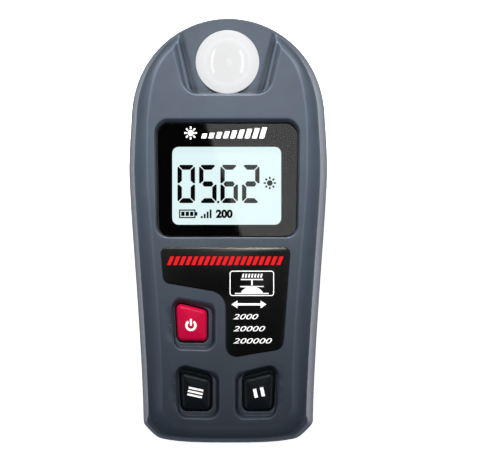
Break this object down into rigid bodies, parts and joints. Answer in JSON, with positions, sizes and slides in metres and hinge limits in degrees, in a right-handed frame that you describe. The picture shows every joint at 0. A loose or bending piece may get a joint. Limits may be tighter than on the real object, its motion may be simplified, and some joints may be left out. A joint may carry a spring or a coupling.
{
  "type": "handheld light meter",
  "caption": "Pocket light meter: two-part waisted case with a fixed white sensor dome at the top, framed display, raised-well keys and a rear battery door.",
  "frame": {"origin": "middle of the flat back, which is the lowest face when the meter lies on its back", "axes": "+X to the right across the face, +Y along the body from the keys to the sensor, +Z out of the face"},
  "size_m": [0.064, 0.137, 0.0298],
  "materials": {
    "case_plastic": "fine moulded grain, blue-grey",
    "clear_window": "clear moulded acrylic",
    "black_print": "black screen print on film",
    "red_rubber": "satin silicone",
    "black_rubber": "satin silicone",
    "grey_rubber": "matt silicone",
    "carbon": "carbon-filled silicone",
    "diffuser": "opal white",
    "black_plastic": "moulded",
    "filter_glass": "polished colour-correcting glass",
    "silicon": "clear epoxy over a silicon die",
    "board": "green solder mask",
    "white_plastic": "moulded",
    "lcd_glass": "reflective liquid crystal cell",
    "steel": "zinc plated",
    "nickel_plate": "nickel plated spring steel",
    "cell_can": "printed foil wrap on a metal can",
    "wire_red": "PVC insulation",
    "wire_black": "PVC insulation"
  },
  "bodies": {
    "case": {"front_shell": "case_plastic", "rear_shell": "case_plastic", "display_window": "clear_window", "window_mask": "black_print", "function_label": "black_print", "keypad_sheet": "grey_rubber", "zebra_connector": "grey_rubber", "sensor_dome": "diffuser", "sensor_holder": "black_plastic", "processor_cap": "black_plastic", "capacitor": "black_plastic", "colour_filter": "filter_glass", "photodiode": "silicon", "main_board": "board", "sensor_board": "board", "display_frame": "white_plastic", "backlight_panel": "white_plastic", "lcd_glass": "lcd_glass", "case_screw_1": "steel", "case_screw_2": "steel", "case_screw_3": "steel", "case_screw_4": "steel", "board_screw_1": "steel", "board_screw_2": "steel", "board_screw_3": "steel", "board_screw_4": "steel", "sensor_screw_1": "steel", "sensor_screw_2": "steel", "crystal": "steel", "contact_positive": "nickel_plate", "contact_upper_bridge": "nickel_plate", "contact_lower_bridge": "nickel_plate", "contact_negative": "nickel_plate", "battery_spring_1": "nickel_plate", "battery_spring_2": "nickel_plate", "battery_spring_3": "nickel_plate", "battery_1": "cell_can", "battery_2": "cell_can", "battery_3": "cell_can", "battery_wire_red": "wire_red", "sensor_wire_red": "wire_red", "battery_wire_black": "wire_black", "sensor_wire_black": "wire_black"},
    "power_key": {"power_key": "red_rubber", "power_pill": "carbon"},
    "mode_key": {"mode_key": "black_rubber", "mode_pill": "carbon"},
    "hold_key": {"hold_key": "black_rubber", "hold_pill": "carbon"},
    "battery_door": {"battery_door": "case_plastic"}
  },
  "joints": [
    {"name": "power_key_press", "type": "slide", "parent": "case", "child": "power_key", "axis": [0, 0, -1], "range_m": [0, 0.001], "stiffness_N_per_m": 1500},
    {"name": "mode_key_press", "type": "slide", "parent": "case", "child": "mode_key", "axis": [0, 0, -1], "range_m": [0, 0.001], "stiffness_N_per_m": 1500},
    {"name": "hold_key_press", "type": "slide", "parent": "case", "child": "hold_key", "axis": [0, 0, -1], "range_m": [0, 0.001], "stiffness_N_per_m": 1500},
    {"name": "battery_door_hinge", "type": "hinge", "parent": "case", "child": "battery_door", "pos_m": [0, -0.057, 0], "axis": [-1, 0, 0], "range_deg": [0, 80]}
  ]
}
